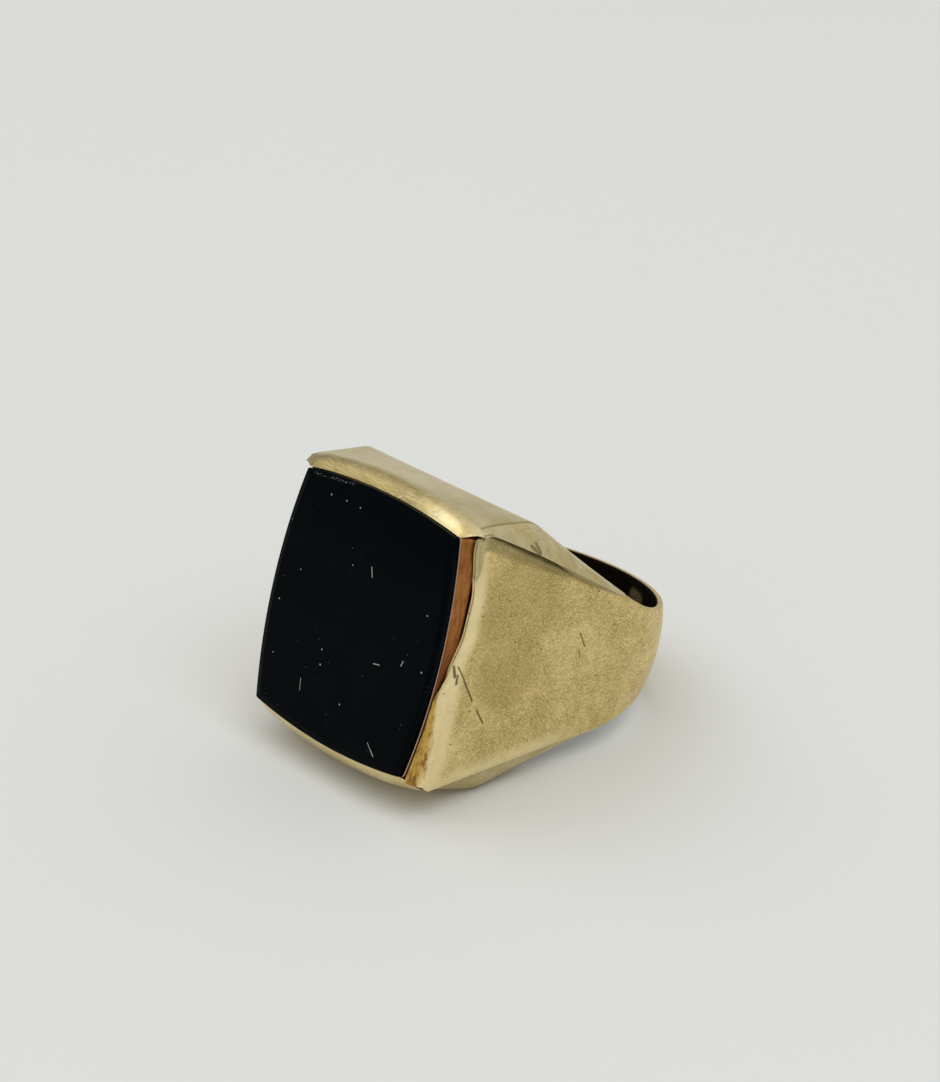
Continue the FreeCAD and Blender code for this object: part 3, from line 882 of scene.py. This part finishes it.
# Greenish dark painted shade for creases, the panels' channels and the leaves
GREEN_SHADE = (0.13, 0.115, 0.055, 1)
BROWN_PATINA = (0.66, 0.41, 0.1, 1)
PIT_BROWN = (0.09, 0.06, 0.02, 1)
COPPER = (0.44, 0.18, 0.054, 1)
DARK_COPPER = (0.2, 0.065, 0.02, 1)
DEEP_COPPER = (0.27, 0.095, 0.026, 1)
# Near black painted shade for the inside of the finger hole
BORE_SHADE = (0.016, 0.01, 0.006, 1)
TAN = (0.42, 0.31, 0.14, 1)
DARK_GRAIN = (0.3, 0.21, 0.06, 1)
COLLAR_SHADOW = (0.01, 0.006, 0.004, 1)
# Pale pink painted highlight for the collar's rim
COLLAR_RIM_HIGHLIGHT = (0.5, 0.36, 0.29, 1)
ONYX_BLACK = (0.0008, 0.0018, 0.0026, 1)
ONYX_BLUE = (0.0014, 0.0026, 0.0034, 1)
LINT = (0.55, 0.58, 0.57, 1)
CEMENT_DARK = (0.5, 0.48, 0.42, 1)
CEMENT_LIGHT = (0.6, 0.58, 0.52, 1)
PAPER_DARK = (0.79, 0.795, 0.775, 1)
PAPER_LIGHT = (0.805, 0.81, 0.79, 1)
WORLD_LOW = (0.40, 0.405, 0.395, 1)
WORLD_HIGH = (0.70, 0.71, 0.70, 1)

# Scratches on the right shoulder panel, as start, end and half width
RIGHT_SCRATCHES = [
    ((8.48, -0.1, 14.55), (8.52, -0.75, 14.3), 0.16),
    ((8.5, -0.7, 14.1), (8.52, -1.25, 14.05), 0.13),
    ((8.5, -0.1, 14.2), (8.6, -1.0, 13.45), 0.07),
    ((8.6, -1.0, 13.5), (8.71, -2.4, 12.4), 0.1),
    ((8.76, -3.1, 11.8), (8.84, -4.0, 11.0), 0.09),
    ((9.5, 2.2, 4.45), (9.57, 1.3, 3.8), 0.075),
    ((9.53, 1.0, 4.15), (9.55, 0.5, 4.0), 0.05),
    ((8.7, -1.9, 11.9), (8.7, -2.9, 11.5), 0.04),
    ((9.2, -5.6, 6.9), (9.2, -5.9, 6.3), 0.05),
]
# Thin dark seams in the solder patina at the lower corner of the right panel
PATINA_SEAMS = [
    ((8.2, -2.6, 14.6), (8.3, -5.6, 14.3), 0.05),
    ((8.1, -3.0, 14.9), (8.2, -4.6, 14.7), 0.05),
]
# A dent of three nicks in the right upper leaf, beside its groove
LEAF_NICKS = [
    ((8.57, 8.0, 10.2), (8.85, 7.5, 9.5), 0.2),
    ((8.43, 8.1, 9.7), (8.76, 7.6, 9.4), 0.2),
    ((8.92, 7.5, 10.0), (8.95, 7.4, 9.5), 0.2),
]


def satin_color(s, mottle, grain, matte):
    """Pale and warm gold in clouds, tarnished in the panel's middle, with a fine grain."""
    clouds = s.noise(0.45, 4.0, 0.6)
    tone = s.times(s.ramp(clouds, 0.36, 0.64), 0.5)
    tone = s.plus(tone, s.times(s.ramp(mottle, 0.35, 0.68), 0.5))
    color = s.mix(tone, SATIN_WARM, SATIN_PALE)
    tarnish = s.most([s.near((8.8, 4.2, 10.3), 4.4), s.near((9.0, -0.3, 10.0), 3.4)])
    tarnish = s.times(tarnish, s.ramp(mottle, 0.3, 0.6, 0.5, 1.0))
    color = s.tint(color, TARNISH, tarnish, 0.6)
    dark_grain = s.times(s.ramp(grain, 0.53, 0.43), matte)
    color = s.tint(color, DARK_GRAIN, dark_grain, s.ramp(clouds, 0.35, 0.65, 0.6, 0.35))
    light_grain = s.times(s.ramp(grain, 0.53, 0.63), matte)
    return s.tint(color, SATIN_LIGHT, light_grain, 0.45)


def file_marks(s):
    """Diagonal marks in two patches of the shoulder panel's lower half."""
    hatch = s.noise(1.0, 4.0, 0.6, s.scaled((1.0, 1.3, 5.5), (0.8, 0.0, 0.0)))
    patches = s.most([s.near((8.85, -4.6, 10.6), 3.0), s.near((9.85, -3.4, 0.9), 2.2)])
    return s.times(s.ramp(hatch, 0.52, 0.6), patches)


def solder_patina(s, color, seams):
    """Brown stain beside the collar, with darker streaks and seams; also its mask."""
    patina = s.attribute("patina")
    streaks = s.noise(1.0, 5.0, 0.65, s.scaled((3.0, 0.8, 3.6)))
    stain = s.ramp(s.plus(s.times(patina, 1.5), s.minus(streaks, 1.1)), 0.0, 0.8)
    color = s.mix(stain, color, BROWN_PATINA)
    dark_stain = s.times(s.ramp(streaks, 0.46, 0.6), s.ramp(patina, 0.3, 0.9))
    color = s.tint(color, DARK_COPPER, dark_stain, 0.75)
    if seams:
        color = s.tint(color, DARK_COPPER, s.most([s.stroke(*seam) for seam in seams]), 0.7)
    return color, stain


def satin_gold(name, scratches=(), seams=()):
    s = Shader(name)
    polish = s.attribute("polish")
    inside = s.attribute("inside")
    mottle = s.noise(1.9, 5.0, 0.65)
    grain = s.noise(7.5, 5.0, 0.78)
    fine = s.noise(15.0, 3.0, 0.7)
    matte = s.minus(1.0, s.times(polish, 0.75))
    marks = file_marks(s)
    pits = s.spots(1.7, 0.05, 0.13, 0.5, 0.56)
    fine_pits = s.times(s.spots(4.2, 0.1, 0.24, 0.6, 0.66), matte)
    cuts = s.most([s.stroke(*scratch) for scratch in scratches] or [pits])
    cuts = s.most([pits, s.times(cuts, s.ramp(grain, 0.36, 0.5, 0.35, 1.0))])

    color = satin_color(s, mottle, grain, matte)
    color = s.tint(color, SATIN_LIGHT, polish, 0.55)
    color = s.tint(color, PIT_BROWN, fine_pits, 0.4)
    color = s.tint(color, WARM_GOLD, marks, 0.3)
    color = s.tint(color, PIT_BROWN, cuts, 0.85)
    color, stain = solder_patina(s, color, seams)
    # Painted shade in channels and creases, turned greenish brown
    color = s.tint(color, GREEN_SHADE, s.attribute("painted_shade"), s.ramp(mottle, 0.25, 0.6, 0.65, 0.95))
    # Painted shade: the inside of the finger hole made near black
    color = s.mix(inside, color, BORE_SHADE)
    tan_patch = s.times(s.stroke((2.4, 2.0, -8.7), (3.3, 1.9, -8.4), 0.6), inside)
    color = s.tint(color, TAN, tan_patch, 0.9)

    rough = s.minus(s.ramp(mottle, 0.3, 0.7, 0.44, 0.34), s.times(polish, 0.1))
    rough = s.plus(rough, s.times(stain, 0.12))
    rough = s.minus(rough, s.times(inside, 0.2))

    height = s.times(s.plus(grain, s.times(fine, 0.5)), matte)
    height = s.plus(height, s.times(mottle, 1.1))
    height = s.minus(height, s.times(marks, 1.2))
    height = s.minus(height, s.times(fine_pits, 0.6))
    height = s.minus(height, s.times(cuts, 2.0))
    return s.finish(color, rough, height, 0.8)


def brushed_gold(name):
    s = Shader(name)
    lip = s.attribute("lip")
    x, y, _ = s.axes()
    clouds = s.noise(0.5, 4.0, 0.6)
    grain = s.noise(6.0, 4.0, 0.7)
    streaks = s.noise(1.0, 5.0, 0.7, s.scaled((1.1, 8.0, 8.0), (0.0, 0.0, 0.1)))
    hatch = s.noise(1.0, 2.0, 0.5, s.scaled((7.0, 1.0, 1.0), (0.0, 0.5, 0.7)))
    scratches = s.times(s.ramp(hatch, 0.56, 0.64), s.times(s.near((2.8, 9.1, 14.8), 2.6), lip))
    pits = s.spots(2.4, 0.08, 0.18, 0.62, 0.68)
    # The upper lip is brown from its left end to its middle
    brown = s.times(s.times(lip, s.ramp(y, -0.5, 0.5)), s.ramp(x, 6.0, 2.0))
    stain = s.times(brown, s.ramp(streaks, 0.3, 0.6, 0.55, 0.95))

    color = s.mix(s.ramp(clouds, 0.35, 0.65), PALE_GOLD, LIGHT_GOLD)
    color = s.tint(color, WARM_GOLD, s.ramp(streaks, 0.5, 0.75), 0.3)
    color = s.tint(color, WARM_GOLD, s.ramp(grain, 0.5, 0.35), 0.25)
    color = s.mix(stain, color, LIP_BROWN)
    # Painted shade in the wall's creases
    color = s.tint(color, GREEN_SHADE, s.attribute("painted_shade"), 0.6)
    color = s.tint(color, PIT_BROWN, pits, 0.6)
    color = s.tint(color, LIGHT_GOLD, scratches, 0.45)

    rough = s.plus(s.ramp(clouds, 0.3, 0.7, 0.28, 0.36), s.times(stain, 0.1))
    height = s.plus(s.times(streaks, 0.7), s.times(clouds, 0.8))
    height = s.plus(height, s.times(grain, 0.4))
    height = s.minus(height, s.times(scratches, 1.2))
    height = s.minus(height, pits)
    return s.finish(color, rough, height, 0.4)


def polished_gold(name, nicks=()):
    s = Shader(name)
    inside = s.attribute("inside")
    clouds = s.noise(0.8, 4.0, 0.6)
    grain = s.noise(6.0, 4.0, 0.65)
    pits = s.spots(3.0, 0.08, 0.16, 0.6, 0.68)
    mark = s.most([pits] + [s.stroke(*nick) for nick in nicks])

    color = s.mix(s.ramp(clouds, 0.35, 0.65), PALE_GOLD, LIGHT_GOLD)
    color = s.tint(color, WARM_GOLD, s.ramp(grain, 0.52, 0.38), 0.3)
    color = s.tint(color, PIT_BROWN, mark, 0.6)
    # Painted shade at the leaves' feet and over the lower leaves
    color = s.tint(color, GREEN_SHADE, s.attribute("painted_shade"), 0.6)
    # Painted shade: the inside of the finger hole made near black
    color = s.mix(inside, color, BORE_SHADE)

    rough = s.minus(s.ramp(grain, 0.3, 0.7, 0.32, 0.4), s.times(inside, 0.14))
    height = s.minus(s.plus(s.times(grain, 0.6), clouds), s.times(mark, 1.6))
    return s.finish(color, rough, height, 0.4)


def collar_gold(name):
    """Copper-red, darker below, with a painted shadow at its foot and a pale pink painted highlight along
    its rim.
    """
    s = Shader(name)
    _, y, z = s.axes()
    streaks = s.noise(1.0, 4.0, 0.6, s.scaled((2.0, 0.9, 5.0)))
    color = s.mix(s.ramp(streaks, 0.25, 0.65), DEEP_COPPER, COPPER)
    color = s.mix(s.ramp(y, 3.5, -1.5), color, DARK_COPPER)
    # Painted shadow at the collar's foot
    color = s.mix(s.ramp(z, COLLAR_TOP_Z - 0.95, COLLAR_TOP_Z - 1.2), color, COLLAR_SHADOW)
    # Painted highlight: a thin pale pink band on top of the rim
    color = s.mix(s.ramp(z, COLLAR_TOP_Z - 0.05, COLLAR_TOP_Z - 0.02), color, COLLAR_RIM_HIGHLIGHT)
    return s.finish(color, s.ramp(streaks, 0.3, 0.7, 0.5, 0.38), streaks, 0.3)


# Fibres lying on the stone, as start and end points across its face, and half widths
STONE_FIBRES = [
    ((0.7, 3.9), (0.95, 3.3), 0.05),
    ((-3.3, -5.3), (-3.15, -6.1), 0.03),
    ((2.8, -1.95), (3.35, -1.85), 0.045),
    ((5.2, -1.2), (5.3, -0.85), 0.05),
    ((3.9, -7.0), (4.3, -7.35), 0.035),
    ((4.3, -7.35), (4.65, -7.65), 0.055),
]


def onyx(name):
    s = Shader(name)
    _, y, _ = s.axes()
    clouds = s.noise(0.35, 3.0, 0.5)
    dust = s.spots(1.1, 0.04, 0.09, 0.66, 0.7)
    fine = s.times(s.spots(3.6, 0.05, 0.14, 0.78, 0.82), s.ramp(y, 4.0, -1.0, 0.25, 1.0))
    # Painted highlight: dotted glints along the left half of the upper bevel, as broken pale strokes
    bevel_glints = s.stroke((-6.3, 8.0, STONE_TOP_Z), (-2.6, 8.45, STONE_TOP_Z), 0.14)
    bevel_glints = s.times(bevel_glints, s.ramp(s.noise(8.0), 0.56, 0.62))
    specks = [dust, s.times(fine, 0.5), s.times(bevel_glints, 0.6)]
    for start, end, width in STONE_FIBRES:
        specks.append(s.stroke((*start, STONE_TOP_Z), (*end, STONE_TOP_Z), width))
    specks = s.most(specks)
    color = s.mix(s.ramp(clouds, 0.35, 0.65), ONYX_BLACK, ONYX_BLUE)
    color = s.tint(color, LINT, specks, 0.7)
    s.surface(Specular_IOR_Level=0.025)
    return s.finish(color, s.ramp(specks, 0.0, 1.0, 0.07, 0.6), clouds, 0.02, depth=0.02, metallic=0.0)


def hidden_surface(name, dark, light, metallic):
    s = Shader(name)
    mottle = s.object_noise(900.0)
    rough = s.ramp(mottle, 0.3, 0.7, 0.4, 0.6)
    s.surface(Base_Color=s.mix(mottle, dark, light), Roughness=rough, Metallic=metallic)
    return s.material


def paint(piece, material):
    piece.data.materials.clear()
    piece.data.materials.append(material)


# Studio

FLOOR_HALF = 2.0               # metres
# The fitted camera: bearing in degrees, millimetres in the row frame, lens for a 36 mm sensor
CAMERA_AZIMUTH = 46.8
CAMERA_ELEVATION = 26.94
CAMERA_DISTANCE = 207.0
CAMERA_AIM = (-3.96, 3.11, 10.24)
CAMERA_LENS = 100.2


def floor():
    mesh = bpy.data.meshes.new("studio_floor")
    corners = [(x * FLOOR_HALF, y * FLOOR_HALF, 0) for x, y in ((-1, -1), (1, -1), (1, 1), (-1, 1))]
    mesh.from_pydata(corners, [], [(0, 1, 2, 3)])
    plane = bpy.data.objects.new("studio_floor", mesh)
    bpy.context.scene.collection.objects.link(plane)
    s = Shader("studio_paper")
    paper = s.mix(s.object_noise(12.0), PAPER_DARK, PAPER_LIGHT)
    s.surface(Base_Color=paper, Roughness=0.75, Specular_IOR_Level=0.15)
    paint(plane, s.material)


def bearing(azimuth, elevation):
    """Unit vector from the ring to something seen at these angles, azimuth 0 being -Y."""
    a, e = math.radians(azimuth), math.radians(elevation)
    return Vector((math.sin(a) * math.cos(e), -math.cos(a) * math.cos(e), math.sin(e)))


def area_light(name, azimuth, elevation, distance, size, power):
    """A square softbox aimed at the ring, placed by its bearing round it."""
    data = bpy.data.lights.new(name, "AREA")
    data.shape = "SQUARE"
    data.size = size
    data.energy = power
    lamp = bpy.data.objects.new(name, data)
    bpy.context.scene.collection.objects.link(lamp)
    lamp.location = bearing(azimuth, elevation) * distance
    lamp.rotation_mode = "QUATERNION"
    lamp.rotation_quaternion = bearing(azimuth, elevation).to_track_quat("Z", "Y")


def surroundings(low, high):
    """Light from all round, one colour below and another overhead."""
    world = bpy.data.worlds.new("studio")
    bpy.context.scene.world = world
    world.use_nodes = True
    tree = world.node_tree
    direction = add_node(tree, "TexCoord", {}, "Generated")
    height = add_node(tree, "SeparateXYZ", {0: direction}, "Z")
    span = {"Value": height, "From Min": -0.1, "From Max": 0.9}
    rise = add_node(tree, "MapRange", span, "Result", interpolation_type="SMOOTHSTEP")
    sky = add_node(tree, "Mix", {"Factor": rise, "A": low, "B": high}, "Result", data_type="RGBA")
    connect(tree, sky, tree.nodes["Background"].inputs["Color"])


def camera():
    data = bpy.data.cameras.new("camera")
    data.lens = CAMERA_LENS
    data.sensor_width = 36.0
    data.clip_start = 0.01
    data.clip_end = 20.0
    eye = bpy.data.objects.new("camera", data)
    bpy.context.scene.collection.objects.link(eye)
    back = bearing(CAMERA_AZIMUTH, CAMERA_ELEVATION)
    eye.location = (Vector(CAMERA_AIM) + back * CAMERA_DISTANCE) * MM
    eye.rotation_mode = "QUATERNION"
    eye.rotation_quaternion = back.to_track_quat("Z", "Y")
    bpy.context.scene.camera = eye


# The ring

satin = satin_gold("satin_gold")
satin_marked = satin_gold("satin_gold_scratched", RIGHT_SCRATCHES, PATINA_SEAMS)
brushed = brushed_gold("brushed_gold")
polished = polished_gold("polished_gold")
nicked = polished_gold("polished_gold_nicked", LEAF_NICKS)

paint(onyx_tablet(), onyx("black_onyx"))
paint(bezel_collar(), collar_gold("collar_gold"))
paint(end_wall("upper_end_wall_sheet", "upper_end_wall", 1), brushed)
paint(end_wall("lower_end_wall_sheet", "lower_end_wall", -1), brushed)
paint(finger_liner(), polished)
paint(shank(), satin)
for side, sx in (("right", 1), ("left", -1)):
    panel = shoulder_panel(side + "_shoulder_panel_sheet", side + "_shoulder_panel", sx)
    paint(panel, satin_marked if sx > 0 else satin)
    for height, sy in (("upper", 1), ("lower", -1)):
        node = side + "_" + height + "_leaf"
        leaf = leaf_plate(node + "_plate", node, sx, sy)
        paint(leaf, nicked if sx > 0 and sy > 0 else polished)
cement = hidden_surface("setting_cement", CEMENT_DARK, CEMENT_LIGHT, 0.0)
paint(frame["nodes"]["stone_cement"], cement)
backing = hidden_surface("backing_gold", WARM_GOLD, PALE_GOLD, 1.0)
paint(frame["nodes"]["backing_plate"], backing)

floor()
surroundings(WORLD_LOW, WORLD_HIGH)
area_light("key_softbox", 85, 62, 0.9, 0.6, 1.75)
area_light("fill_softbox", -70, 50, 1.0, 0.7, 1.5)
camera()
bpy.context.scene.view_settings.view_transform = "Standard"
